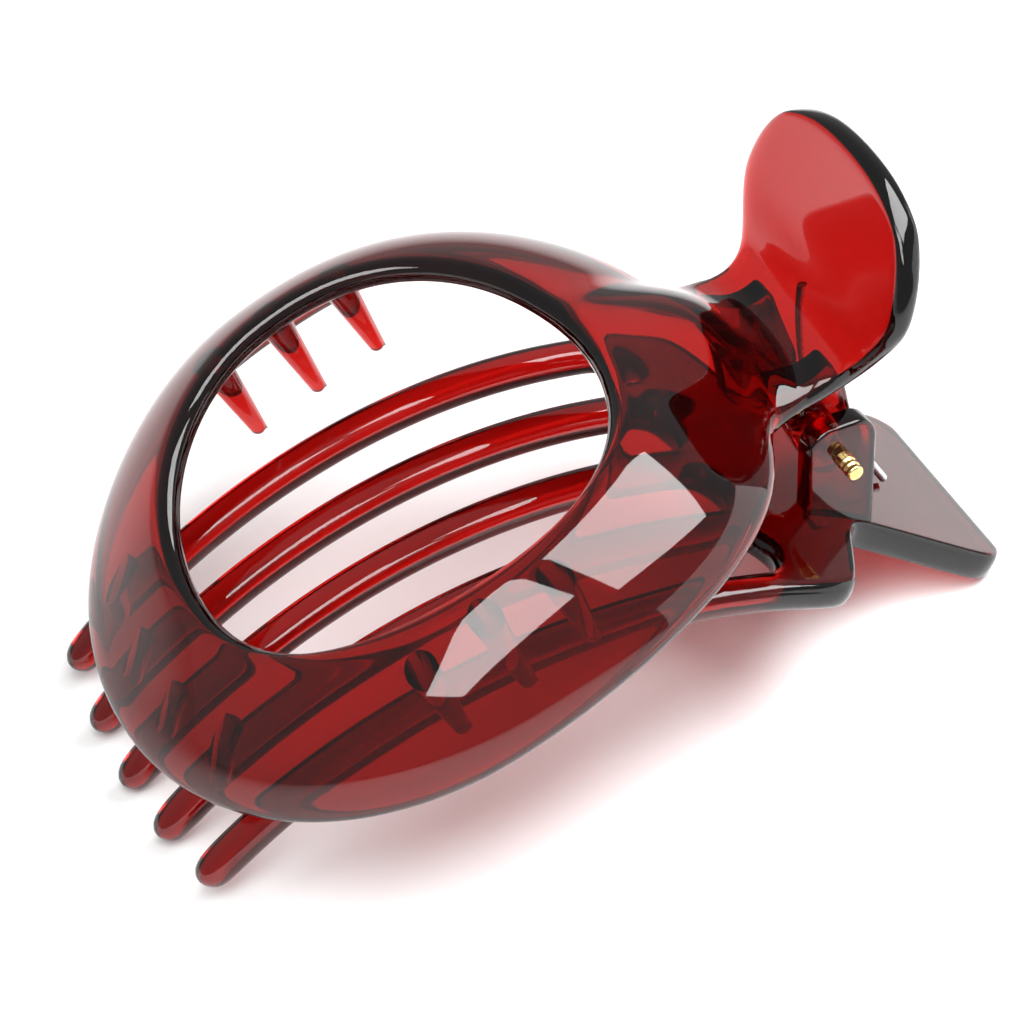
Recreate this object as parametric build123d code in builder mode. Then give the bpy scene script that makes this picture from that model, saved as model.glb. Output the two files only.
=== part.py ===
# Large oval hair clip: a domed jaw with a round window, a five-prong comb jaw,
# a hinge pin and a coiled spring. It lies on its prong tips and its lower thumb tab.
# Millimetres, +Z up, +X from the prong tips to the hinge, origin on the surface under the middle.
from build123d import *
from math import acos, atan2, cos, hypot, pi, radians, sin, sqrt
import os

# Comb jaw
length = 113.2            # prong tips to the end of the thumb tab
arch_height = 23.9        # middle of the thickness at the top of the arch
arch_ahead = 1.7          # top of the arch ahead of the middle of the clip
plastic = 3.8             # thickness of the comb and its tab
prong_count = 5
prong_width = 4.7
tip_pitch = 10.0          # spacing of the prongs at their tips
root_pitch = 12.3         # spacing of the prongs at the slot ends
tip_setback = 2.1         # outer tips behind the middle one
tip_round = 2.1           # corners of a prong's tip
rest_depth = 0.2          # cut off flat under the middle tip, where the clip rests
slot_end = 35.4           # slot ends to the rear end of the tab
plate_end = 28.5          # rear corners of the plate to the same end
plate_round = 3.4
waist_start = 22.3        # the plate has narrowed to the waist here
waist_width = 27.0
waist_end = 19.1          # the tab starts to widen here
tab_width = 33.6
tab_round = 4.0

# Hinge
hinge_setback = 22.45     # pin to the rear end of the tab
pin_rise = 11.7           # pin above the middle of the plate under it
pin_radius = 1.1
pin_reach = 3.3           # pin end past the near ear
pin_rear_reach = 0.6      # pin end past the far ear
pin_chamfer = 0.2
groove_count = 2
groove_width = 0.4
groove_depth = 0.2
groove_pitch = 0.9
fixed_gap = 0.03          # pin to the ears that hold it, on the radius
running_gap = 0.08        # pin to the ears that turn on it, on the radius
hinge_width = 25.2        # over the outer ears
ear_thick = 3.2
ear_width = 9.2
ear_rise = 5.0            # ear top above the pin
ear_round = 3.2
side_gap = 0.35           # between ears that slide past each other
inner_ear_thick = 3.2
inner_ear_radius = 3.7

# Domed jaw, in a frame of its own that starts at the middle of its rim
jaw_ahead = 47.4          # middle of the rim ahead of the pin
jaw_above = 18.9          # middle of the rim above the pin
front_rise = 11.4         # front of the rim above the table
tip_lead = 0.06           # prong tips ahead of the front of the rim
rear_reach = 47.0
half_width = 41.4
crown = 18.5              # outer top above the rim
wall = 3.3
dome_power = 2.2          # fullness of the dome over its sides
rear_fall = 48.0          # the dome's top line would fall to the rim within this
front_fall = 5.4          # and this far ahead of the front of the rim
rear_gain = 0.1           # share by which the rear is fuller than the front
rear_droop = 3.0          # the rim sinks towards the neck by this
window_rear = 29.3
front_band = 15.5         # front of the window to the front rim
window_width = 55.4

# Teeth of the domed jaw
side_row = 29.9           # side teeth from the middle
side_teeth = (-8.5, 0.4, 9.2)
side_tip = 2.4            # depth of its tip under the rim
root_radius = 1.9
tip_radius = 0.95
front_rows = (5.0, 15.0)   # front teeth from the middle
front_roots = (8.2, 11.4)  # behind the front rim
front_tips = ((5.0, -2.2), (7.3, -2.8))  # behind the front rim, and over it

# Neck and thumb paddle
neck_width = 25.2
neck_front = 38.0
neck_outline = ((37.0, 10.0), (42.0, 13.0), (48.5, 12.8), (53.0, 13.2), (58.0, 15.8))
neck_bend = (42.6, 1.9)
neck_corner = (49.4, -9.0)
bend_round = 7.0
saddle_round = 4.4
paddle_lean = 38.5        # from the upright of the jaw's frame
paddle_rise = 12.0        # middle of the paddle above the neck's corner
paddle_width = 35.8
paddle_height = 27.0
paddle_power = 2.3        # fullness of the paddle's outline
paddle_thick = 3.1
ear_front = (44.4, -4.0)  # upper corners of the ears inside the neck
ear_back = (50.9, -10.0)

# Spring
wire = 1.1
coil_turns = 5
coil_gap = 0.6            # pin to the coil, on the radius
coil_skin = 0.08          # the coil's solid stands this far outside its wire
upper_leg = 15.0
lower_leg = 20.0
seat_gap = 0.15           # ends of the legs to the jaws

os.makedirs("parts", exist_ok=True)

# Places that follow from the sizes above
rear = length / 2
tip_rise = arch_height - plastic / 2
tip_run = rear - arch_ahead
for _ in range(8):
    arch_radius = (tip_run**2 + tip_rise**2) / (2 * tip_rise)
    tip_run = rear - arch_ahead - plastic / 2 * tip_run / arch_radius
    tip_rise = arch_height + rest_depth - plastic / 2 * (1 - tip_rise / arch_radius)
arch_x = -arch_ahead
arch_z = arch_height - arch_radius
tip_turn = atan2(tip_run, arch_radius - tip_rise)
end_x, end_z = rear - plastic / 2 - arch_x, plastic / 2 - arch_z
tab_turn = atan2(end_x, end_z) - acos(arch_radius / hypot(end_x, end_z))
outer_radius, inner_radius = arch_radius + plastic / 2, arch_radius - plastic / 2
last_prong = (prong_count - 1) / 2

pin_x = rear - hinge_setback
pin_z = arch_z + sqrt(arch_radius**2 - (pin_x - arch_x) ** 2) + pin_rise
ear_face = hinge_width / 2
inner_ear_face = ear_face - ear_thick - side_gap
# The domed jaw leans so that it reaches from the pin to the front of the comb
front_run = length - hinge_setback - tip_lead
front_reach = sqrt(front_run**2 + (pin_z - front_rise) ** 2 - jaw_above**2) - jaw_ahead
tilt = atan2(pin_z - front_rise, front_run) + atan2(jaw_above, jaw_ahead + front_reach)
window_front = front_reach - front_band
jaw = Plane(
    origin=(
        pin_x - jaw_ahead * cos(tilt) - jaw_above * sin(tilt),
        0,
        pin_z - jaw_ahead * sin(tilt) + jaw_above * cos(tilt),
    ),
    x_dir=(cos(tilt), 0, sin(tilt)),
    z_dir=(-sin(tilt), 0, cos(tilt)),
)
jaw_side = Plane(origin=jaw.origin, x_dir=jaw.x_dir, z_dir=(0, -1, 0))


def on_arch(radius, turn):
    """Point in side view on a circle of the arch, its turn measured from the top."""
    return (arch_x + radius * sin(turn), arch_z + radius * cos(turn))


def pitch_at(x):
    """Spacing of the prongs at a distance from the middle of the clip."""
    share = (x + rear) / (length - slot_end)
    return tip_pitch + (root_pitch - tip_pitch) * share


def dome_height(x, y):
    """Height of the domed jaw's outer face above its rim, in the jaw's own frame."""
    reach = front_reach if x < 0 else rear_reach
    spread = min(hypot(x / reach, y / half_width), 1)
    fall = x / (front_reach + front_fall if x < 0 else rear_fall)
    side = (1 - spread**dome_power) ** (1 / dome_power)
    droop = rear_droop * max(x / rear_reach, 0) ** 3 * spread**4
    return crown * side * (1 - fall**2) * (1 + rear_gain * fall) - droop


def band_section(turn):
    """Plane of one section through the dome's wall, and its outer and inner points from the rim
    to the window. The turn goes from the rear, at 0, round to the front."""
    rim = ((rear_reach if cos(turn) > 0 else front_reach) * cos(turn), half_width * sin(turn))
    hole = (window_rear if cos(turn) > 0 else window_front) * cos(turn), window_width / 2 * sin(turn)
    depth = hypot(hole[0] - rim[0], hole[1] - rim[1])
    way = ((hole[0] - rim[0]) / depth, (hole[1] - rim[1]) / depth)
    steps = 60
    line = []
    for step in range(steps + 1):
        run = depth * (step / steps) ** 2
        line.append(Vector(run, dome_height(rim[0] + run * way[0], rim[1] + run * way[1])))
    gone = [0.0]
    for before, after in zip(line, line[1:]):
        gone.append(gone[-1] + (after - before).length)
    outer, inner = [], []
    for share in (0, 0.22, 0.48, 0.74, 1):
        goal = wall / 2 + share * (gone[-1] - wall)
        step = next(i for i in range(1, steps + 1) if gone[i] >= goal)
        along = (line[step] - line[step - 1]).normalized()
        point = line[step - 1] + along * (goal - gone[step - 1])
        outer.append(point)
        inner.append(point + Vector(along.Y, -along.X) * wall)
    corner = jaw.origin + jaw.x_dir * rim[0] + Vector(0, rim[1], 0)
    inward = jaw.x_dir * way[0] + Vector(0, way[1], 0)
    return Plane(origin=corner, x_dir=inward, z_dir=inward.cross(jaw.z_dir)), outer, inner


# Comb jaw: an arch that runs out into a straight tab, cut to its plan
with BuildPart() as lower_jaw:
    with BuildSketch(Plane.XZ):
        with BuildLine():
            upper = ThreePointArc(on_arch(outer_radius, -tip_turn), on_arch(outer_radius, 0),
                                  on_arch(outer_radius, tab_turn))
            under = ThreePointArc(on_arch(inner_radius, -tip_turn), on_arch(inner_radius, 0),
                                  on_arch(inner_radius, tab_turn))
            tab = hypot(end_x, end_z) * sin(acos(arch_radius / hypot(end_x, end_z))) + plastic / 2
            slope = Vector(cos(tab_turn), -sin(tab_turn)) * tab
            tab_upper = Line(upper @ 1, (upper @ 1) + slope)
            tab_under = Line(under @ 1, (under @ 1) + slope)
            Line(tab_upper @ 1, tab_under @ 1)
            Line(upper @ 0, under @ 0)
        make_face()
    extrude(amount=half_width, both=True)
    with BuildSketch() as plan:
        plate_x = rear - plate_end
        plate_y = last_prong * pitch_at(plate_x) + prong_width / 2
        with BuildLine():
            edge = Polyline(
                (-length, last_prong * pitch_at(-length) + prong_width / 2),
                (plate_x, plate_y),
                (rear - waist_start, waist_width / 2),
                (rear - waist_end, waist_width / 2),
                (rear, tab_width / 2),
                (rear, 0),
            )
            mirror(edge, about=Plane.XZ)
            Line((edge @ 0), (-length, -(edge @ 0).Y))
        make_face()
        corners = plan.vertices().sort_by(Axis.X)
        fillet(corners.filter_by_position(Axis.X, plate_x - 1, plate_x + 1), radius=plate_round)
        fillet(plan.vertices().sort_by(Axis.X)[-2:], radius=tab_round)
    extrude(amount=2 * arch_height, mode=Mode.INTERSECT)
    # Slots between the prongs, a little wider towards their round ends
    for slot in range(prong_count - 1):
        middle = slot + 0.5 - last_prong
        with BuildSketch():
            for x in (-rear - tip_pitch, rear - slot_end):
                bore = (pitch_at(x) - prong_width) / 2
                with Locations((x - bore, middle * pitch_at(x))):
                    Circle(bore)
            make_hull()
        extrude(amount=2 * arch_height, mode=Mode.SUBTRACT)
    # Prong tips, square to the arch, the outer ones set back, then rounded
    for prong in range(prong_count):
        setback = tip_setback * ((prong - last_prong) / last_prong) ** 2
        turn = tip_turn - setback / arch_radius / cos(tip_turn)
        tip_x, tip_z = on_arch(arch_radius, -turn)
        tip_y = (prong - last_prong) * pitch_at(tip_x)
        with BuildSketch(Plane(origin=(tip_x, tip_y, tip_z), x_dir=(0, 1, 0),
                               z_dir=(-cos(turn), 0, -sin(turn)))):
            Rectangle(tip_pitch, 3 * plastic)
        extrude(amount=2 * plastic, mode=Mode.SUBTRACT)
    tip_faces = lower_jaw.faces().filter_by(GeomType.PLANE).filter_by(
        lambda face: face.normal_at().X < -0.5 and face.center().X < -rear / 2)
    fillet(tip_faces.edges().filter_by(lambda line: abs((line % 0.5).Y) < 0.2), radius=tip_round)
    # A flat under each tip and under the tab, where the clip rests
    split(bisect_by=Plane.XY, keep=Keep.TOP)
    # Ears with the pin's holes
    foot_z = on_arch(arch_radius, (pin_x - arch_x) / arch_radius)[1] - plastic / 4
    for side in (-1, 1):
        with BuildSketch(Plane.XZ.offset(-side * (ear_face - ear_thick / 2))) as ear:
            with Locations((pin_x, pin_z + ear_rise)):
                Rectangle(ear_width, ear_rise + pin_z - foot_z, align=(Align.CENTER, Align.MAX))
            fillet(ear.vertices().sort_by(Axis.Z)[-2:], radius=ear_round)
        extrude(amount=ear_thick / 2, both=True)
    with Locations(Plane(origin=(pin_x, 0, pin_z), z_dir=(0, 1, 0))):
        Cylinder(pin_radius + fixed_gap, 2 * hinge_width, mode=Mode.SUBTRACT)
lower_jaw.part.label = "lower_jaw"
export_step(lower_jaw.part, "parts/lower_jaw.step")

# Hinge pin, with grooves at the end that shows
with BuildPart() as hinge_pin:
    shaft = Plane(origin=(pin_x, -ear_face - pin_reach, pin_z), z_dir=(0, 1, 0))
    with Locations(shaft):
        Cylinder(pin_radius, hinge_width + pin_reach + pin_rear_reach,
                 align=(Align.CENTER, Align.CENTER, Align.MIN))
    chamfer(hinge_pin.faces().filter_by(GeomType.PLANE).edges(), length=pin_chamfer)
    for groove in range(groove_count):
        with BuildSketch(shaft.offset((groove + 1) * groove_pitch - groove_width / 2)):
            Circle(2 * pin_radius)
            Circle(pin_radius - groove_depth, mode=Mode.SUBTRACT)
        extrude(amount=groove_width, mode=Mode.SUBTRACT)
hinge_pin.part.label = "hinge_pin"
export_step(hinge_pin.part, "parts/hinge_pin.step")

# Neck: a bent strip that drops behind the dome and turns up into the paddle, waisted in plan
lean = Vector(sin(radians(paddle_lean)), cos(radians(paddle_lean)))
with BuildPart() as neck:
    with BuildSketch(jaw_side):
        with BuildLine():
            FilletPolyline((neck_front, dome_height(neck_front, 0)), neck_bend, neck_corner,
                           lean * paddle_rise + neck_corner, radius=(bend_round, saddle_round))
            offset(amount=wall, side=Side.RIGHT)
        make_face()
    extrude(amount=paddle_width / 2, both=True)
    with BuildSketch(jaw):
        with BuildLine():
            flank = Spline(*neck_outline)
            mirror(flank, about=Plane.XZ)
            Line(flank @ 0, ((flank @ 0).X, -(flank @ 0).Y))
            Line(flank @ 1, ((flank @ 1).X, -(flank @ 1).Y))
        make_face()
    extrude(amount=half_width, both=True, mode=Mode.INTERSECT)

# Domed jaw: half of its wall is lofted round the window, from behind the rear to past the front
with BuildPart() as upper_jaw:
    for step in range(-1, 11):
        plane, outer, inner = band_section(pi * step / 9)
        with BuildSketch(plane):
            with BuildLine():
                for edge_point, far_point, back in ((outer[0], inner[0], -1), (outer[-1], inner[-1], 1)):
                    along = (far_point - edge_point).normalized()
                    bulge = Vector(-along.Y, along.X) * back * wall / 2
                    ThreePointArc(edge_point, (edge_point + far_point) / 2 + bulge, far_point)
                Spline(*outer)
                Spline(*inner)
            make_face()
    loft()
    split(bisect_by=Plane.XZ, keep=Keep.BOTTOM)
    mirror(about=Plane.XZ)
    # The wall is cleared above the neck, which then joins it
    with BuildSketch(jaw_side):
        with BuildLine():
            Polyline(neck_bend, neck_corner, (neck_corner[0] + crown, 0), (neck_corner[0], crown), neck_bend)
        make_face()
    extrude(amount=neck_width / 2, both=True, mode=Mode.SUBTRACT)
    add(neck.part)
    # Paddle: an oval plate whose front face carries on the neck's
    face_way = jaw.x_dir * lean.X + jaw.z_dir * lean.Y
    face_middle = lean * paddle_rise + neck_corner
    paddle = Plane(origin=jaw.from_local_coords((face_middle.X, 0, face_middle.Y)),
                   x_dir=(0, 1, 0), z_dir=face_way.cross(Vector(0, 1, 0)))
    with BuildSketch(paddle):
        with BuildLine():
            quarter = [(paddle_width / 2 * cos(turn) ** (2 / paddle_power),
                        paddle_height / 2 * sin(turn) ** (2 / paddle_power))
                       for turn in (0, pi / 10, pi / 5, 0.3 * pi, 0.4 * pi)]
            half = quarter + [(0, paddle_height / 2)] + [(-x, y) for x, y in quarter[::-1]]
            Spline(*half, *[(-x, -y) for x, y in half[1:-1]], periodic=True)
        make_face()
    plate = extrude(amount=-paddle_thick)
    # Ears that turn on the pin, under the neck
    pin_spot = (jaw_ahead, -jaw_above)
    for side in (-1, 1):
        with BuildSketch(jaw_side.offset(-side * (inner_ear_face - inner_ear_thick / 2))):
            for spot, radius in ((pin_spot, inner_ear_radius), (ear_front, wall / 2), (ear_back, wall / 2)):
                with Locations(spot):
                    Circle(radius)
            make_hull()
        extrude(amount=inner_ear_thick / 2, both=True)
    with Locations(Plane(origin=(pin_x, 0, pin_z), z_dir=(0, 1, 0))):
        Cylinder(pin_radius + running_gap, 2 * inner_ear_face, mode=Mode.SUBTRACT)
    # Teeth that hang inside the wall, straight at the sides and leaning at the front
    teeth = [((x, side_row), (x, side_row, -side_tip)) for x in side_teeth]
    teeth += [((x - front_reach, y), (tip_x - front_reach, y, tip_z))
              for y, x, (tip_x, tip_z) in zip(front_rows, front_roots, front_tips)]
    for (x, y), tip in teeth:
        start = jaw.from_local_coords(Vector(x, y, dome_height(x, y) - wall))
        way = jaw.from_local_coords(Vector(*tip)) - start
        height = way.length - tip_radius
        way = way.normalized()
        for mirrored in (1, -1):
            foot = Vector(start.X, start.Y * mirrored, start.Z)
            tooth_way = Vector(way.X, way.Y * mirrored, way.Z)
            with Locations(Plane(origin=foot, z_dir=tooth_way)):
                Cone(root_radius, tip_radius, height, align=(Align.CENTER, Align.CENTER, Align.MIN))
            with Locations(foot + tooth_way * height):
                Sphere(tip_radius)
upper_jaw.part.label = "upper_jaw"
export_step(upper_jaw.part, "parts/upper_jaw.step")

# Spring: its coil round the pin as one turned solid, and a straight leg against each jaw
coil_radius = pin_radius + coil_gap + wire / 2
pin_middle = Vector(pin_x, 0, pin_z)
paddle_back = paddle.origin - paddle.z_dir * paddle_thick
tab_way = Vector(cos(tab_turn), 0, -sin(tab_turn))
tab_up = Vector(sin(tab_turn), 0, cos(tab_turn))
tab_top = Vector(arch_x, 0, arch_z) + tab_up * outer_radius
with BuildPart() as spring:
    with Locations(Plane(origin=pin_middle, z_dir=(0, 1, 0))):
        Cylinder(coil_radius + wire / 2 + coil_skin, coil_turns * wire + 2 * coil_skin)
        Cylinder(coil_radius - wire / 2 - coil_skin, 2 * coil_turns * wire, mode=Mode.SUBTRACT)
    # Each leg leaves the coil at a tangent, and its end lies against a jaw
    for side, face, along, normal, reach in (
        (1, paddle_back, face_way, -paddle.z_dir, upper_leg),
        (-1, tab_top, tab_way, tab_up, lower_leg),
    ):
        stand = (pin_middle - face).dot(normal)
        turn = acos((wire / 2 + seat_gap - stand) / hypot(coil_radius, reach)) - atan2(reach, coil_radius)
        way = along * cos(turn) - normal * sin(turn)
        out = normal * cos(turn) + along * sin(turn)
        root = pin_middle + out * coil_radius + Vector(0, side * (coil_turns - 1) * wire / 2, 0)
        with Locations(Plane(origin=root, z_dir=way)):
            Cylinder(wire / 2, reach, align=(Align.CENTER, Align.CENTER, Align.MIN))
spring.part.label = "spring"
export_step(spring.part, "parts/spring.step")
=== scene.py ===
# %% [markdown]
# # A large oval hair clip in clear dark red plastic
# The imported clip is loaded first, as a frame in metres. Its two jaws and its pin keep
# their places and their bodies, and its spring keeps its place. Everything below gives them their
# finished shapes, their materials, their light and a camera.

# %% Load the clip
from math import cos, hypot, pi, radians, sin, sqrt

import bmesh
import bpy
from mathutils import Matrix, Vector


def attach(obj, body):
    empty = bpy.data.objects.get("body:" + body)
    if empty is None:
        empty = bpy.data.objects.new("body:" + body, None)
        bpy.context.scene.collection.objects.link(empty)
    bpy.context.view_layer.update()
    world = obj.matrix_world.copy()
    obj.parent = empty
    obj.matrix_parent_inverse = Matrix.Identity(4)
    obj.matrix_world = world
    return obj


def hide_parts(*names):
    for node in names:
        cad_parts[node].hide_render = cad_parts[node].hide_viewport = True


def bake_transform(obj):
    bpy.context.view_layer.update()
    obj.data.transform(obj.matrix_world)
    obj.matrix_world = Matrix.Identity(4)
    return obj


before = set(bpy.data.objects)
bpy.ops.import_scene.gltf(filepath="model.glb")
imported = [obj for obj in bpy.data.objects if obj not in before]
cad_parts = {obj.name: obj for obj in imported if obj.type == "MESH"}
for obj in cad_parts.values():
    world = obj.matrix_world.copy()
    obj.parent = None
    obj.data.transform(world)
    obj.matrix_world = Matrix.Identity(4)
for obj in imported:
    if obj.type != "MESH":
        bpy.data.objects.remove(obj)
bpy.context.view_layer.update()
MM = 0.001

# %% [markdown]
# ## The camera
# The photograph was taken with a long lens from the near side, well above the clip and a little
# towards its prongs. A camera can be placed by eye, or by turning it round a point that it looks
# at. The second way is used, because each angle can then be corrected alone until the outlines
# lie over the photograph's.

# %% Camera
CAMERA_AZIMUTH = -24.9           # degrees from the near side, towards the prongs
CAMERA_HEIGHT = 41.7             # degrees above the table
CAMERA_ROLL = -1.6
CAMERA_DISTANCE = 512 * MM
AIM = Vector((-1.94, 0.0, 19.4)) * MM
AIM_OFF_CENTRE = (14.6, -19.8)   # pixels from the picture's middle to the aimed point, right and up
PICTURE = 1024
FOCAL_PIXELS = 4269.6
SENSOR = 36

turn, lift = radians(CAMERA_AZIMUTH), radians(CAMERA_HEIGHT)
back = Vector((sin(turn) * cos(lift), -cos(turn) * cos(lift), sin(lift)))
right = Vector((0, 0, 1)).cross(back).normalized()
up = back.cross(right)
roll = Matrix.Rotation(radians(CAMERA_ROLL), 3, back)
right, up = roll @ right, roll @ up
pixel = CAMERA_DISTANCE / FOCAL_PIXELS
middle = AIM - (right * AIM_OFF_CENTRE[0] + up * AIM_OFF_CENTRE[1]) * pixel
lens = bpy.data.cameras.new("camera")
lens.sensor_width, lens.lens = SENSOR, SENSOR * FOCAL_PIXELS / PICTURE
lens.clip_start, lens.clip_end = 0.05, 20
camera = bpy.data.objects.new("camera", lens)
bpy.context.scene.collection.objects.link(camera)
camera.matrix_world = (Matrix.Translation(middle + back * CAMERA_DISTANCE)
                       @ Matrix((right, up, back)).transposed().to_4x4())
bpy.context.scene.camera = camera
print("lens, mm:", round(lens.lens, 1))

# %% [markdown]
# ## Working by hand, from code
# The jaws are modelled as a modeller would at the screen: a primitive is added, shaped in edit
# mode and finished with modifiers. An operator acts on all that is selected, so these helpers
# keep the selection clear between the steps.

# %% Helpers for modelling
def clear():
    """Leaves edit mode and selects nothing."""
    if bpy.context.object and bpy.context.object.mode != "OBJECT":
        bpy.ops.object.mode_set(mode="OBJECT")
    bpy.ops.object.select_all(action="DESELECT")


def pick(*pieces):
    """Selects these pieces, the last one active."""
    clear()
    for piece in pieces:
        piece.select_set(True)
    bpy.context.view_layer.objects.active = pieces[-1]
    return pieces[-1]


def finish_with(piece, kind, **settings):
    """Adds a modifier with these settings and applies it."""
    pick(piece)
    modifier = piece.modifiers.new(kind.lower(), kind)
    for name, value in settings.items():
        setattr(modifier, name, value)
    bpy.ops.object.modifier_apply(modifier=modifier.name)
    return piece


def settle(piece, name):
    """Names a piece and moves its place from the object into the mesh."""
    pick(piece)
    bpy.ops.object.transform_apply(location=True, rotation=True, scale=True)
    piece.name = piece.data.name = name
    return piece


def fused(piece, *others, way="UNION"):
    """One closed skin round a piece and others, or the piece with the others cut out of it."""
    for other in others:
        finish_with(piece, "BOOLEAN", object=other, operation=way, solver="EXACT")
        bpy.data.objects.remove(other)
    return piece


def faces_of(piece):
    return f"{len(piece.data.polygons)} faces"


# %% [markdown]
# ## The shape of the dome
# The upper jaw of the real clip is one moulding: a dome with a large round window, a neck that
# dips behind it and a thumb paddle that stands up from the neck. The jaw is tilted, so its shape
# is given in a frame of its own, with its zero in the rim's middle. The rim and the window are
# egg-shaped, and the dome's height follows from where a point lies between middle and rim.

# %% Values of the dome
JAW_FRAME = (-16.877, 26.818, radians(21.243))      # the upper jaw's own frame: middle x, z and tilt
DOME_FRAME = (-19.08, 26.41, radians(23.25))        # the dome's rim dips a little more at its front
FRONT_REACH, REAR_REACH, HALF_WIDTH, WIDEST = 39.95, 45.03, 40.75, 0.4
FRONT_SQUARE, REAR_SQUARE = 2.05, 2.41              # 2 would be an ellipse, more is squarer
CROWN, FULLNESS, WALL = 19.25, 2.2, 3.3
FRONT_FALL, REAR_FALL, REAR_GAIN, REAR_DROOP = 45.1, 48.0, 0.1, 8.6
WINDOW_FRONT, WINDOW_REAR, WINDOW_HALF = 23.66, 30.78, 26.99
WINDOW_WIDEST, WINDOW_SQUARE = 5.19, 2.12


def jaw_point(x, y, z, jaw=JAW_FRAME):
    """A point of a tilted frame, in millimetres, as a place in metres."""
    middle_x, middle_z, tilt = jaw
    return Vector((middle_x + x * cos(tilt) - z * sin(tilt), y,
                   middle_z + x * sin(tilt) + z * cos(tilt))) * MM


def oval(turn, front, rear, half, widest, front_square, rear_square):
    """A point of an egg-shaped outline whose two ends may be squarer than an ellipse."""
    square, reach = (rear_square, rear - widest) if cos(turn) > 0 else (front_square, front + widest)
    along = abs(cos(turn)) ** (2 / square) * (1 if cos(turn) > 0 else -1)
    across = abs(sin(turn)) ** (2 / square) * (1 if sin(turn) > 0 else -1)
    return Vector((widest + reach * along, half * across, 0))


def dome_height(x, y):
    """Height of the dome's outer face above its rim."""
    at_rear = x > WIDEST
    square, reach = (REAR_SQUARE, REAR_REACH - WIDEST) if at_rear else (FRONT_SQUARE, FRONT_REACH + WIDEST)
    spread = (abs((x - WIDEST) / reach) ** square + abs(y / HALF_WIDTH) ** square) ** (1 / square)
    spread = min(spread, 1)
    fall = x / (FRONT_FALL if x < 0 else REAR_FALL)
    side = (1 - spread**FULLNESS) ** (1 / FULLNESS)
    droop = REAR_DROOP * max(x / REAR_REACH, 0) ** 3 * spread**4
    return CROWN * side * (1 - fall**2) * (1 + REAR_GAIN * fall) - droop


print("dome's crown, mm:", round(dome_height(0, 0), 2))

# %% [markdown]
# ## Rows and columns of the dome's wall
# A dome can be cut from a sphere, but its faces would then run into the window at odd angles, and
# a polished surface shows that at once. Here the rows of faces run round the window and the
# columns run from the rim to the window, as the real highlights do. The line down the middle of
# the rear leaves the dome early, because it turns down into the neck.

# %% Rows and columns of the wall
TURNS, OUTLINE_STEPS, COLUMN_STEPS = 72, 720, 80
NECK_TURNS = 4              # the neck is this many faces wide to each side
SHARES = (0.012, 0.13, 0.29, 0.47, 0.66, 0.85, 0.988)   # rows of the wall, from the rim to the window
REAR_LINE = ((44.75, -1.5), (44.0, -0.3), (43.0, 0.95), (41.6, 2.05), (40.0, 3.05), (38.0, 4.15),
             (36.0, 5.45), (34.0, 6.8), (32.0, 8.05), (30.0, 9.25), (28.25, 10.25))


def along_line(line, shares):
    """Points at these shares of a line's length, from its points."""
    gone = [0.0]
    for before, after in zip(line, line[1:]):
        gone.append(gone[-1] + (after - before).length)
    found = []
    for share in shares:
        goal = share * gone[-1]
        step = next((i for i in range(1, len(line)) if gone[i] >= goal - 1e-9), len(line) - 1)
        part = (goal - gone[step - 1]) / max(gone[step] - gone[step - 1], 1e-9)
        found.append(line[step - 1].lerp(line[step], part))
    return found


def outline(*shape):
    """An egg-shaped outline as evenly spaced points, one for each column of the wall."""
    line = [oval(2 * pi * step / OUTLINE_STEPS, *shape) for step in range(OUTLINE_STEPS + 1)]
    return along_line(line, [step / TURNS for step in range(TURNS)])


rim = outline(FRONT_REACH, REAR_REACH, HALF_WIDTH, WIDEST, FRONT_SQUARE, REAR_SQUARE)
hole = outline(WINDOW_FRONT, WINDOW_REAR, WINDOW_HALF, WINDOW_WIDEST, WINDOW_SQUARE, WINDOW_SQUARE)


def wall_column(number):
    """Places of one column of the wall's outer face, from just inside the rim to the window."""
    line = []
    for step in range(COLUMN_STEPS + 1):
        spot = rim[number].lerp(hole[number], (step / COLUMN_STEPS) ** 2)
        line.append(Vector((spot.x, spot.y, dome_height(spot.x, spot.y))))
    return [jaw_point(*place, jaw=DOME_FRAME) for place in along_line(line, SHARES)]


rear_column = along_line([jaw_point(x, 0, z) for x, z in REAR_LINE], SHARES)
wall = [wall_column(number) for number in range(TURNS)]
for away in range(-NECK_TURNS + 1, NECK_TURNS):
    pull = 1 - (away / NECK_TURNS) ** 2
    wall[away] = [place + pull * (rear_place - dome_place)
                  for place, rear_place, dome_place in zip(wall_column(away), rear_column, wall_column(0))]
print("rim's round, mm:", round(sum((b - a).length for a, b in zip(rim, rim[1:] + rim[:1]))))

# %% [markdown]
# ## Bend a grid into the ring round the window
# The wall starts as a flat grid with one row of faces for each row of the wall. Its points are
# moved to their places, its two ends meet, and the doubled points there are merged.

# %% Ring round the window
clear()
bpy.ops.mesh.primitive_grid_add(x_subdivisions=TURNS, y_subdivisions=len(SHARES) - 1, size=2)
upper = bpy.context.object
for vertex in upper.data.vertices:
    column = round((vertex.co.x + 1) / 2 * TURNS) % TURNS
    row = round((vertex.co.y + 1) / 2 * (len(SHARES) - 1))
    vertex.co = wall[column][row]
pick(upper)
bpy.ops.object.mode_set(mode="EDIT")
bpy.ops.mesh.select_all(action="SELECT")
bpy.ops.mesh.remove_doubles(threshold=0.01 * MM)
clear()
print("ring round the window:", faces_of(upper))

# %% [markdown]
# ## The line of the neck and the paddle
# On the real clip the neck is the saddle that joins dome and paddle, and its sides hang a little
# lower beside the dome. The paddle is an oval, dished for the thumb. A round piece could be set
# on the neck by a boolean, but a seam would show in clear plastic. So the neck's own rows go on
# into the paddle, and a square of faces is bowed into the oval.

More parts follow.
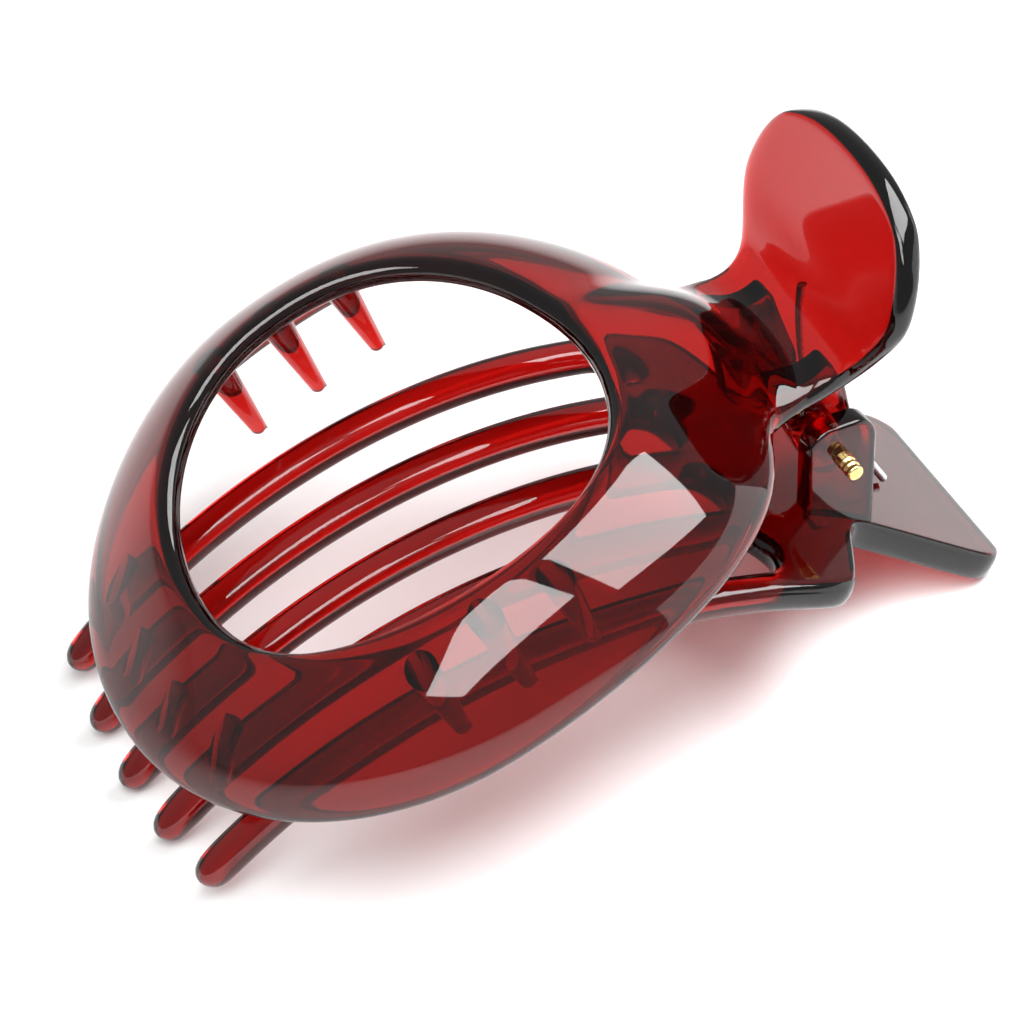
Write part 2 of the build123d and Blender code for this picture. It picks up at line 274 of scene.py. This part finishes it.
# %% Rows of the neck and the paddle
NECK_ROWS = ((45.6, -2.95, 13.8), (46.5, -4.1, 13.3), (47.4, -5.0, 13.0), (48.8, -5.66, 12.8),
             (50.4, -5.72, 13.0), (51.9, -5.2, 13.8), (53.28, -4.12, 15.1), (54.75, -2.27, 16.6))
NECK_SIDE_DROPS = (2.95, 1.8, 0.9, 0.25, 0, 0, 0, 0)
NECK_CORNER = Vector((49.4, -9.0))
PADDLE_LEAN = radians(38.5)
PADDLE_MIDDLE, PADDLE_HALF_WIDTH, PADDLE_HALF_HEIGHT, PADDLE_FULLNESS = 12.4, 18.7, 15.2, 2.3
PADDLE_BOWS = (0.0, 0.26, 0.5, 0.7, 0.86, 1.0)
PADDLE_DISH = 0.7
ACROSS_NECK = range(-NECK_TURNS, NECK_TURNS + 1)


def paddle_place(across, share):
    """A place on the paddle's dished face, from a square grid bowed into an oval."""
    y = across * sqrt(1 - share**2 / 2)
    v = share * sqrt(1 - across**2 / 2)
    reach = hypot(y, v)
    if reach > 0:
        stretch = reach / (abs(y) ** PADDLE_FULLNESS + abs(v) ** PADDLE_FULLNESS) ** (1 / PADDLE_FULLNESS)
        y, v = y * stretch, v * stretch
    dish = PADDLE_DISH * (1 - min(reach, 1) ** 2)
    along = Vector((sin(PADDLE_LEAN), cos(PADDLE_LEAN)))
    front = Vector((-along.y, along.x))
    spot = NECK_CORNER + along * (PADDLE_MIDDLE + v * PADDLE_HALF_HEIGHT) - front * dish
    return jaw_point(spot.x, y * PADDLE_HALF_WIDTH, spot.y)


neck = [[jaw_point(x, half * k / NECK_TURNS, z - drop * (k / NECK_TURNS) ** 2) for k in ACROSS_NECK]
        for (x, z, half), drop in zip(NECK_ROWS, NECK_SIDE_DROPS)]
paddle = [[paddle_place(k / NECK_TURNS, bow) for k in ACROSS_NECK] for bow in PADDLE_BOWS]
print("rows of the neck and the paddle:", len(neck), "and", len(paddle))

# %% [markdown]
# ## Extrude the neck and the paddle
# Behind the window the rim's edges are extruded, row by row, down into the saddle and up again
# into the paddle. Each new row is moved to its place on the line. The edges that grow are found
# by their place on the rim.

# %% Extrude row by row
pick(upper)
bpy.ops.object.mode_set(mode="EDIT")
bpy.ops.mesh.select_mode(type="EDGE")
bpy.ops.mesh.select_all(action="DESELECT")
mesh = bmesh.from_edit_mesh(upper.data)
neck_edge = [wall[away][0] for away in ACROSS_NECK]
first = [v for v in mesh.verts if min((v.co - place).length for place in neck_edge) < 0.02 * MM]
for edge in mesh.edges:
    edge.select_set(edge.is_boundary and all(v in first for v in edge.verts))
bmesh.update_edit_mesh(upper.data)
print("rim edges that grow into the neck:", sum(e.select for e in mesh.edges))
for row in neck + paddle:
    bpy.ops.mesh.extrude_region_move()
    mesh = bmesh.from_edit_mesh(upper.data)
    fresh = sorted((v for v in mesh.verts if v.select), key=lambda v: v.co.y)
    for vertex, place in zip(fresh, row):
        vertex.co = place
    bmesh.update_edit_mesh(upper.data)
bpy.ops.mesh.select_all(action="SELECT")
bpy.ops.mesh.normals_make_consistent(inside=False)
clear()

# %% [markdown]
# ## Give the upper jaw its wall
# The moulding has one wall thickness all over, which is what Solidify gives. Its edges are fully
# round. A bevel could round them, but Subdivision Surface rounds the corner of a thin wall by
# itself and keeps the highlight along the edge in one piece.

# %% Wall and round edges
if upper.data.polygons[0].normal.dot(upper.data.polygons[0].center - jaw_point(0, 0, 0)) < 0:
    upper.data.flip_normals()
finish_with(upper, "SOLIDIFY", thickness=WALL * MM, offset=-1, use_even_offset=True)
finish_with(upper, "SUBSURF", levels=2, render_levels=2)
print("upper wall, neck and paddle:", faces_of(upper))

# %% [markdown]
# ## Teeth
# Ten short teeth hang inside the dome and hold the hair: three on each side and four at the
# front. One tooth is modelled as a cone that sinks a little into the wall, with a bevelled, round
# tip. The others are made in the same way, each with its own mesh, turned from root to tip.

# %% Teeth
SIDE_ROW, SIDE_TEETH, SIDE_TIP = 29.2, (-6.2, 2.7, 11.5), 2.4
FRONT_TEETH = ((5.0, -31.5, -34.7, -2.2), (15.0, -28.3, -32.4, -2.8))    # y, root x, tip x and tip z
ROOT_RADIUS, ROOT_DEPTH, TIP_RADIUS, TIP_BEVEL = 2.128, 1.2, 0.95, 0.9025


def tooth(root, tip):
    """One tooth from its root on the wall to its rounded tip."""
    start, end = jaw_point(*root, jaw=DOME_FRAME), jaw_point(*tip, jaw=DOME_FRAME)
    way = (end - start).normalized()
    start = start - way * ROOT_DEPTH * MM
    clear()
    bpy.ops.mesh.primitive_cone_add(vertices=24, radius1=ROOT_RADIUS * MM, radius2=TIP_RADIUS * MM,
                                    depth=(end - start).length)
    piece = bpy.context.object
    bpy.ops.object.mode_set(mode="EDIT")
    mesh = bmesh.from_edit_mesh(piece.data)
    for face in mesh.faces:
        face.select_set(face.normal.z > 0.9)
    bmesh.update_edit_mesh(piece.data)
    bpy.ops.mesh.bevel(offset=TIP_BEVEL * MM, segments=6, affect="EDGES")
    clear()
    piece.matrix_world = (Matrix.Translation((start + end) / 2)
                          @ way.to_track_quat("Z", "Y").to_matrix().to_4x4())
    return settle(piece, "tooth")


places = [((x, SIDE_ROW, dome_height(x, SIDE_ROW) - WALL), (x, SIDE_ROW, -SIDE_TIP)) for x in SIDE_TEETH]
places += [((x, y, dome_height(x, y) - WALL), (tip_x, y, tip_z)) for y, x, tip_x, tip_z in FRONT_TEETH]
teeth = [tooth((root[0], root[1] * side, root[2]), (tip[0], tip[1] * side, tip[2]))
         for root, tip in places for side in (1, -1)]
print("teeth:", len(teeth))

# %% [markdown]
# ## Inner ears
# Two flat ears hang from the neck and turn on the pin, inside the comb's ears. Each is pulled
# tight round three discs: one round the pin and two up in the neck. A convex hull gives that
# shape at once, where drawing its tangent lines would take more steps.

# %% Inner ears
PIN = Vector((34.15, 0, 26.376)) * MM
PIN_RADIUS = 1.1
EAR_DISCS = (((47.4, -18.9), 3.7), ((44.4, -5.6), 1.65), ((50.9, -10.0), 1.65))    # middle and radius
INNER_EAR_MIDDLE, INNER_EAR_THICK, INNER_EAR_BEVEL = 7.45, 3.2, 0.4


def across_cylinder(place, radius, width):
    """A cylinder that lies across the clip."""
    clear()
    bpy.ops.mesh.primitive_cylinder_add(vertices=32, radius=radius, depth=width, location=place,
                                        rotation=(pi / 2, 0, 0))
    return bpy.context.object


def inner_ear(side):
    """A flat ear, pulled tight round three discs, with soft edges."""
    discs = [across_cylinder(jaw_point(x, side * INNER_EAR_MIDDLE, z), radius * MM, INNER_EAR_THICK * MM)
             for (x, z), radius in EAR_DISCS]
    ear = pick(*discs)
    bpy.ops.object.join()
    bpy.ops.object.mode_set(mode="EDIT")
    bpy.ops.mesh.select_all(action="SELECT")
    bpy.ops.mesh.convex_hull()
    bpy.ops.mesh.select_all(action="SELECT")
    bpy.ops.mesh.dissolve_limited(angle_limit=radians(1))
    clear()
    finish_with(ear, "BEVEL", width=INNER_EAR_BEVEL * MM, segments=3, limit_method="ANGLE",
                angle_limit=radians(60))
    return settle(ear, "inner_ear")


inner_ears = [inner_ear(1), inner_ear(-1)]
print("inner ears:", len(inner_ears))

# %% [markdown]
# ## Join the upper jaw
# In clear plastic, two pieces that only overlap would show their hidden walls. A boolean union
# gives the jaw, its teeth and its ears one closed skin, as a moulding has. The hole for the pin
# is bored last, a little wider than the pin, because the jaw turns on it.

# %% Upper jaw
RUNNING_GAP, INNER_BORE = 0.08, 18.4

fused(upper, *teeth, *inner_ears)
bore = settle(across_cylinder(PIN, (PIN_RADIUS + RUNNING_GAP) * MM, INNER_BORE * MM), "bore")
fused(upper, bore, way="DIFFERENCE")
settle(upper, "upper_jaw_clear")
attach(upper, "dome")
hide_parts("upper_jaw")
print("upper jaw:", faces_of(upper))

# %% [markdown]
# ## Plan and arch of the comb
# The lower jaw is an arched comb of one thickness: five prongs, a plate, a narrow waist and a
# thumb tab. Seen from above it is flat work, so it is laid out in plan first and each point is
# then lifted onto the arch, which runs out straight into the tab.

# %% Values of the comb
ARCH_X, ARCH_Z, ARCH_RADIUS, TAB_TURN = -1.7, -50.38, 74.28, 0.56133
COMB, PRONG, REAR = 3.8, 4.7, 56.6
REAR_PITCH, PITCH_GROWTH = 10.0, 2.3
SLOT_END, SLOT_ROUND, PLATE_END = 21.2, 3.85, 28.1
TIP_X, TIP_SETBACK = -56.2, 1.512           # the middle tip, and how far back the outer ones are
TIP_NOSE, TIP_SHOULDER, TIP_SIDE, TIP_NARROWING = 0.35, 1.15, 2.9, 0.75
PRONG_START, PRONG_ROWS, PRONG_ROOT = -50.77, 14, 1.9
PRONGS, PRONG_FACES, SLOT_FACES = 5, 2, 4   # faces across a prong and across a slot


def pitch_at(x):
    """Spacing of the prongs at a place along the clip."""
    return REAR_PITCH + PITCH_GROWTH * (x + REAR) / (REAR + SLOT_END)


def comb_height(x):
    """Middle of the comb's thickness: an arch, and then the straight tab."""
    bend = ARCH_X + ARCH_RADIUS * sin(TAB_TURN)
    if x < bend:
        return ARCH_Z + sqrt(ARCH_RADIUS**2 - (x - ARCH_X) ** 2)
    return ARCH_Z + ARCH_RADIUS * cos(TAB_TURN) - (x - bend) * sin(TAB_TURN) / cos(TAB_TURN)


def comb_half(x):
    """Half the width over all five prongs."""
    return (PRONGS - 1) / 2 * pitch_at(x) + PRONG / 2


plate_half = comb_half(PLATE_END)
EDGE = ((23.2, comb_half(23.2)), (25.1, comb_half(25.1) - 0.1), (27.2, plate_half - 0.55),
        (28.75, plate_half - 2.0), (29.9, 23.2), (31.9, 18.8), (33.7, 14.8), (34.9, 13.65), (36.4, 13.45),
        (38.2, 13.7), (41.5, 14.15), (45.0, 14.8), (48.5, 15.4), (51.4, 15.85), (53.6, 15.95),
        (55.35, 14.6), (56.3, 12.4))        # x and half width of the plate, the waist and the tab
print("plate, mm wide:", round(2 * plate_half, 1))

# %% [markdown]
# ## Lay out the comb's grid
# One flat grid makes the whole comb: two faces across each prong and four across each slot. The
# rows crowd together at the tips, at the slots' round ends and at the tab's corners, where the
# outline turns quickly, and lie wide apart along the prongs.

# %% Grid of the comb
prong_step = (SLOT_END - SLOT_ROUND - PRONG_START) / (PRONG_ROWS - 1)
prong_rows = [PRONG_START + step * prong_step for step in range(PRONG_ROWS)]
comb_rows = ["tip", "tip side"] + prong_rows + ["slot"] + list(EDGE)
comb_columns = PRONGS * PRONG_FACES + (PRONGS - 1) * SLOT_FACES
unit_columns = PRONG_FACES + SLOT_FACES


def comb_place(row, column):
    """Plan place of one grid point, in millimetres."""
    unit, part = divmod(column, unit_columns)
    in_prong = part <= PRONG_FACES
    centre = unit - (PRONGS - 1) / 2
    kind = comb_rows[row]

    def across(x):
        if in_prong:
            return centre * pitch_at(x) + (part - 1) * PRONG / 2
        slot = pitch_at(x) - PRONG
        return centre * pitch_at(x) + PRONG / 2 + (part - PRONG_FACES) / SLOT_FACES * slot

    tip = TIP_X + TIP_SETBACK * (centre / 2) ** 2
    if kind == "tip":
        x = tip + (TIP_NOSE if part == 1 else TIP_SHOULDER)
        return x, centre * pitch_at(x) + (part - 1) * (PRONG / 2 - TIP_NARROWING)
    if kind == "tip side":
        return tip + TIP_SIDE, across(tip + TIP_SIDE)
    if kind == "slot":
        x = SLOT_END - SLOT_ROUND + PRONG_ROOT
        if in_prong:
            return x, across(x)
        radius = (pitch_at(SLOT_END) - PRONG) / 2
        angle = (part - PRONG_FACES) / SLOT_FACES * pi - pi / 2
        y = (centre + 0.5) * pitch_at(SLOT_END) + radius * sin(angle)
        return SLOT_END - radius + radius * cos(angle), y
    if isinstance(kind, tuple):
        x, half = kind
        return x, across(PLATE_END) / plate_half * half
    share = (row - 2) / (PRONG_ROWS - 1)
    x = kind + (tip - TIP_X) * (1 - share)
    return x, across(x)


clear()
bpy.ops.mesh.primitive_grid_add(x_subdivisions=len(comb_rows) - 1, y_subdivisions=comb_columns, size=2)
comb = bpy.context.object
for vertex in comb.data.vertices:
    row = round((vertex.co.x + 1) / 2 * (len(comb_rows) - 1))
    column = round((vertex.co.y + 1) / 2 * comb_columns)
    x, y = comb_place(row, column)
    vertex.co = Vector((x, y, comb_height(x))) * MM
print("grid of the comb:", faces_of(comb))

# %% [markdown]
# ## Open the slots and give the comb its thickness
# The faces between the prongs are deleted as far as the slots' round ends, and the comb gets its
# thickness and its round edges in the same way as the dome. The clip stands on the end of its tab
# and on its tips. The tab's round end would reach a little below the table, so it is cut off level.

# %% Slots and thickness
pick(comb)
bpy.ops.object.mode_set(mode="EDIT")
mesh = bmesh.from_edit_mesh(comb.data)
slot_row = comb_rows.index("slot")
for face in mesh.faces:
    row = min(v.index % len(comb_rows) for v in face.verts)
    part = min(v.index // len(comb_rows) for v in face.verts) % unit_columns
    face.select_set(row < slot_row and part >= PRONG_FACES)
bmesh.update_edit_mesh(comb.data)
bpy.ops.mesh.delete(type="FACE")
clear()
if comb.data.polygons[0].normal.z < 0:
    comb.data.flip_normals()
finish_with(comb, "SOLIDIFY", thickness=COMB * MM, offset=0, use_even_offset=True)
finish_with(comb, "SUBSURF", levels=2, render_levels=2)
pick(comb)
bpy.ops.object.mode_set(mode="EDIT")
bpy.ops.mesh.select_all(action="SELECT")
bpy.ops.mesh.bisect(plane_co=(0, 0, 0), plane_no=(0, 0, 1), use_fill=True, clear_inner=True,
                    threshold=1e-7)
clear()
print("comb:", faces_of(comb), "lowest, mm:", round(min(v.co.z for v in comb.data.vertices) / MM, 2))
print("comb's reach, mm:", [round(end(v.co.x for v in comb.data.vertices) / MM, 1) for end in (min, max)])

# %% [markdown]
# ## Outer ears
# Two upright ears on the comb hold the pin. Each is a flat block whose two upper corners are
# rounded. The corners are two edges of a cube, so bevelling those edges gives the round in one
# step, and a small bevel then softens the rest.

# %% Outer ears and the lower jaw
EAR_WIDTH, EAR_RISE, EAR_ROUND, EAR_BEVEL = 9.2, 5.0, 3.2, 0.5
OUTER_EAR_MIDDLE, OUTER_EAR_THICK = 11.0, 3.2
HELD_GAP, OUTER_BORE = 0.03, 40


def outer_ear(side):
    """An upright ear on the comb, its two upper corners rounded."""
    foot = comb_height(PIN.x / MM) * MM - COMB / 4 * MM
    top = PIN.z + EAR_RISE * MM
    clear()
    bpy.ops.mesh.primitive_cube_add(size=1, location=(PIN.x, side * OUTER_EAR_MIDDLE * MM, (foot + top) / 2),
                                    scale=(EAR_WIDTH * MM, OUTER_EAR_THICK * MM, top - foot))
    ear = settle(bpy.context.object, "outer_ear")
    bpy.ops.object.mode_set(mode="EDIT")
    mesh = bmesh.from_edit_mesh(ear.data)
    for edge in mesh.edges:
        a, b = edge.verts
        edge.select_set(min(a.co.z, b.co.z) > top - MM and abs(a.co.x - b.co.x) < 0.1 * MM)
    bmesh.update_edit_mesh(ear.data)
    bpy.ops.mesh.bevel(offset=EAR_ROUND * MM, segments=10, affect="EDGES")
    clear()
    return finish_with(ear, "BEVEL", width=EAR_BEVEL * MM, segments=3, limit_method="ANGLE",
                       angle_limit=radians(50))


fused(comb, outer_ear(1), outer_ear(-1))
bore = settle(across_cylinder(PIN, (PIN_RADIUS + HELD_GAP) * MM, OUTER_BORE * MM), "bore")
fused(comb, bore, way="DIFFERENCE")
settle(comb, "lower_jaw_clear")
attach(comb, "comb")
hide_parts("lower_jaw")
print("lower jaw:", faces_of(comb))

# %% [markdown]
# ## A bar from a ring
# The pin is turned and the spring is wound from round stock, so both can grow from one ring of
# points. The ring is extruded step by step, and each new ring is put in its place. Every point
# carries its number in the ring, which an extrusion copies, so no point can change its column.

# %% Helper for round bars
def grown(name, rings):
    """A closed bar through these rings of points."""
    clear()
    bpy.ops.mesh.primitive_circle_add(vertices=len(rings[0]), radius=MM, fill_type="NOTHING")
    piece = bpy.context.object
    numbers = piece.data.attributes.new("number", "INT", "POINT")
    for vertex in piece.data.vertices:
        numbers.data[vertex.index].value = vertex.index
    bpy.ops.object.mode_set(mode="EDIT")
    bpy.ops.mesh.select_mode(type="EDGE")
    bpy.ops.mesh.select_all(action="SELECT")
    for step, ring in enumerate(rings):
        if step:
            bpy.ops.mesh.extrude_region_move()
        mesh = bmesh.from_edit_mesh(piece.data)
        number = mesh.verts.layers.int["number"]
        for vertex in mesh.verts:
            if vertex.select:
                vertex.co = ring[vertex[number]]
        bmesh.update_edit_mesh(piece.data)
    bpy.ops.mesh.select_all(action="SELECT")
    bpy.ops.mesh.fill_holes(sides=0)
    bpy.ops.mesh.select_all(action="SELECT")
    bpy.ops.mesh.normals_make_consistent(inside=False)
    clear()
    piece.data.attributes.remove(piece.data.attributes["number"])
    return settle(piece, name)


def ring_points(middle, out, side, radius, count):
    """Points of a ring round a middle, in millimetres, in the plane of two directions."""
    return [middle + out * (radius * cos(2 * pi * i / count)) + side * (radius * sin(2 * pi * i / count))
            for i in range(count)]


# %% [markdown]
# ## The pin
# The real pin is a brass rod. Its near end stands a little way out of the ear and has ring grooves
# round it. Its outline is a list of lengths and radii, as on a lathe drawing.

# %% Pin
PIN_START = -15.9
PIN_LINE = ((0, 0.55), (0.04, 0.82), (0.16, 0.98), (0.34, 1.05), (0.52, 1.02), (0.66, 0.93), (0.8, 0.9),
            (0.98, 0.93), (1.12, 1.05), (1.3, 1.1), (1.48, 1.05), (1.6, 0.93), (1.72, 0.9), (1.9, 0.93),
            (2.04, 1.06), (2.2, 1.1), (15.0, 1.1), (28.9, 1.1), (29.04, 1.04), (29.1, 0.9))
X_WAY, Y_WAY, Z_WAY = Vector((1, 0, 0)), Vector((0, 1, 0)), Vector((0, 0, 1))

pin = grown("pin_brass", [[PIN + point * MM for point in ring_points(
    Y_WAY * (PIN_START + length), X_WAY, Z_WAY, radius, 40)] for length, radius in PIN_LINE])
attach(pin, "comb")
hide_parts("hinge_pin")
print("pin:", faces_of(pin))

# %% [markdown]
# ## The spring
# A torsion spring sits round the pin between the ears. It has nearly four close turns and two
# straight legs, one that rests on the tab and one that pushes the paddle up. Its ends belong to
# different jaws.

# %% Spring
WIRE_RADIUS, COIL_RADIUS, COIL_HALF, COIL_TURNS, COIL_STEPS, WIRE_POINTS = 0.55, 2.25, 2.2, 4, 96, 14
LOWER_LEAVES, LOWER_LEG = radians(30.5), 20.0       # where a leg leaves the coil, and its length
UPPER_LEAVES, UPPER_LEG = radians(-5.7), 15.0
LEG_SHARES = (0.05, 0.33, 0.66, 1.0)


def ring_of_wire(turn, y, along=0.0):
    """A ring round the wire at one turn of the coil, moved along the tangent there."""
    out, way = Vector((cos(turn), 0, sin(turn))), Vector((-sin(turn), 0, cos(turn)))
    middle = out * COIL_RADIUS + way * along + Y_WAY * y
    return [PIN + point * MM for point in ring_points(middle, out, Y_WAY, WIRE_RADIUS, WIRE_POINTS)]


sweep = UPPER_LEAVES - LOWER_LEAVES + COIL_TURNS * 2 * pi
rings = [ring_of_wire(LOWER_LEAVES, -COIL_HALF, -LOWER_LEG * share) for share in reversed(LEG_SHARES)]
rings += [ring_of_wire(LOWER_LEAVES + sweep * step / COIL_STEPS, COIL_HALF * (2 * step / COIL_STEPS - 1))
          for step in range(COIL_STEPS + 1)]
rings += [ring_of_wire(UPPER_LEAVES, COIL_HALF, UPPER_LEG * share) for share in LEG_SHARES]
spring = grown("spring_wound", rings)
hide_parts("spring")
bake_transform(spring)
print("spring:", faces_of(spring))

# %% [markdown]
# ## Smooth shading
# Smooth shading lets the small faces look like one surface. Edges that turn by more than an
# angle stay crisp, such as those of the bored holes.

# %% Smooth shading
CRISP_ABOVE = radians(38)

for piece in (upper, comb, pin, spring):
    pick(piece)
    bpy.ops.object.shade_smooth_by_angle(angle=CRISP_ABOVE)
print("smoothed:", len((upper, comb, pin, spring)), "pieces")

# %% [markdown]
# ## Materials written as sums
# Shader sums are written as plain expressions. A small class wraps a socket, so that adding or
# multiplying two values adds the Math node that does it. A second class holds one material and
# makes every other node with one method.

# %% Helpers for materials
class Value:
    """A link in a material. A sum on it adds the Math node that works it out."""

    def __init__(self, finish, socket):
        self.finish, self.socket = finish, socket

    def maths(self, operation, other):
        return self.finish.node("ShaderNodeMath", {"operation": operation}, {0: self, 1: other})

    def __add__(self, other):
        return self.maths("ADD", other)

    def __mul__(self, other):
        return self.maths("MULTIPLY", other)

    __radd__, __rmul__ = __add__, __mul__


class Finish:
    """One material. Its nodes come from one method, which sets them up and links them."""

    def __init__(self, name):
        self.material = bpy.data.materials.new(name)
        self.material.use_nodes = True
        self.nodes, self.links = self.material.node_tree.nodes, self.material.node_tree.links

    def feed(self, socket, value):
        if isinstance(value, Value):
            self.links.new(value.socket, socket)
        else:
            socket.default_value = value

    def node(self, kind, settings, inputs, output=0):
        made = self.nodes.new(kind)
        for name, value in settings.items():
            setattr(made, name, value)
        for name, value in inputs.items():
            self.feed(made.inputs[name], value)
        return Value(self, made.outputs[output])

    def surface(self, inputs):
        for name, value in inputs.items():
            self.feed(self.nodes["Principled BSDF"].inputs[name], value)

    def noise(self, scale, detail):
        place = self.node("ShaderNodeTexCoord", {}, {}, output="Object")
        return self.node("ShaderNodeTexNoise", {}, {"Vector": place, "Scale": scale, "Detail": detail},
                         output="Fac")

    def mixed(self, share, one, other):
        return self.node("ShaderNodeMix", {"data_type": "RGBA"}, {0: share, 6: one, 7: other}, output=2)


# %% [markdown]
# ## Clear red plastic
# The clip is moulded in a clear, strongly dyed plastic. Thin places glow bright red and thick ones
# turn nearly black, so most of the dye sits in the volume, where light loses more the further it
# goes. Painting dark and bright places on the skin would be wrong from any other side. The skin is
# polished, and its colour and gloss vary a little, as they do on a moulding.

# %% Plastic
DYE, DYE_STRENGTH = (0.81, 0.40, 0.37, 1), 1200

plastic = Finish("clear_red_plastic")
cloudy, rubbed = plastic.noise(38.0, 3.0), plastic.noise(220.0, 4.0)
plastic.surface({"Base Color": plastic.mixed(cloudy, (0.80, 0.075, 0.06, 1), (0.70, 0.055, 0.05, 1)),
                 "Roughness": 0.015 + 0.03 * rubbed, "IOR": 1.49, "Transmission Weight": 1.0})
dye = plastic.node("ShaderNodeVolumeAbsorption", {}, {"Color": DYE, "Density": DYE_STRENGTH})
plastic.feed(plastic.nodes["Material Output"].inputs["Volume"], dye)
print("plastic:", len(plastic.nodes), "nodes")

# %% [markdown]
# ## Brass and spring steel
# The pin is bare brass and the spring is drawn steel wire. Both are metals, so all their colour is
# in the reflection. A fine noise mixes a fresh and a worn tone and roughens the worn places, so
# that they don't look like new chrome.

# %% Brass and steel
brass = Finish("turned_brass")
worn = brass.noise(900.0, 3.0)
brass.surface({"Base Color": brass.mixed(worn, (0.86, 0.66, 0.30, 1), (0.70, 0.47, 0.17, 1)),
               "Roughness": 0.16 + 0.16 * worn, "Metallic": 1.0})
steel = Finish("drawn_steel")
drawn = steel.noise(1400.0, 2.0)
steel.surface({"Base Color": steel.mixed(drawn, (0.62, 0.62, 0.64, 1), (0.42, 0.42, 0.45, 1)),
               "Roughness": 0.22 + 0.12 * drawn, "Metallic": 1.0})
for piece, finish in ((upper, plastic), (comb, plastic), (pin, brass), (spring, steel)):
    piece.data.materials.clear()
    piece.data.materials.append(finish.material)
    print(piece.name, "is in", finish.material.name)

# %% [markdown]
# ## Light
# Polished plastic shows the lamps more than it shows itself. Two bright panels hang over the clip
# and give the pale windows on its near side. A dimmer panel on the right veils the rear of the
# dome, and the rest of the room is dim, which keeps the plastic deep. The panels are placed where
# a mirror lying on the dome would send the camera's view.

# %% Panels and room
ROOM = 0.42


def panel(name, place, aim, width, height, brightness, turned=0.0):
    """A lit panel at a place, facing a point. Its brightness is what a mirror of it would show."""
    light = bpy.data.lights.new(name, "AREA")
    light.shape, light.size, light.size_y = "RECTANGLE", width, height
    light.energy = brightness * pi * width * height
    lamp = bpy.data.objects.new(name, light)
    bpy.context.scene.collection.objects.link(lamp)
    way = (Vector(place) - Vector(aim)).to_track_quat("Z", "Y").to_matrix()
    lamp.matrix_world = Matrix.Translation(place) @ (way @ Matrix.Rotation(turned, 3, "Z")).to_4x4()
    lamp.visible_camera = False


panel("overhead", (-0.29, -0.31, 0.5), (-0.29, -0.31, 0), 0.58, 0.26, 10.0, radians(33))
panel("overhead_rear", (0.31, -0.04, 0.5), (0.31, -0.04, 0), 0.56, 0.34, 10.0, radians(33))
panel("right_wall", (0.7, -0.3, 0.2), (0, -0.03, 0.03), 1.0, 0.4, 1.6)
world = bpy.data.worlds.new("studio")
bpy.context.scene.world = world
world.use_nodes = True
world.node_tree.nodes["Background"].inputs["Color"].default_value = (1, 1, 1, 1)
world.node_tree.nodes["Background"].inputs["Strength"].default_value = ROOM
bpy.context.scene.view_settings.view_transform = "Standard"
print("lights:", len(bpy.data.lights))

# %% [markdown]
# ## Floor
# The floor is plain and pale, as in the photograph, and lies just under the clip. It is stage and
# no part of the clip.

# %% Floor
FLOOR_SIZE, FLOOR_DEPTH = 6, 0.0002

clear()
bpy.ops.mesh.primitive_plane_add(size=FLOOR_SIZE, location=(0, 0, -FLOOR_DEPTH))
floor = settle(bpy.context.object, "floor")
pale = Finish("pale_floor")
pale.surface({"Base Color": (0.8, 0.8, 0.8, 1), "Roughness": 0.7})
floor.data.materials.append(pale.material)
print("floor, m:", FLOOR_SIZE)
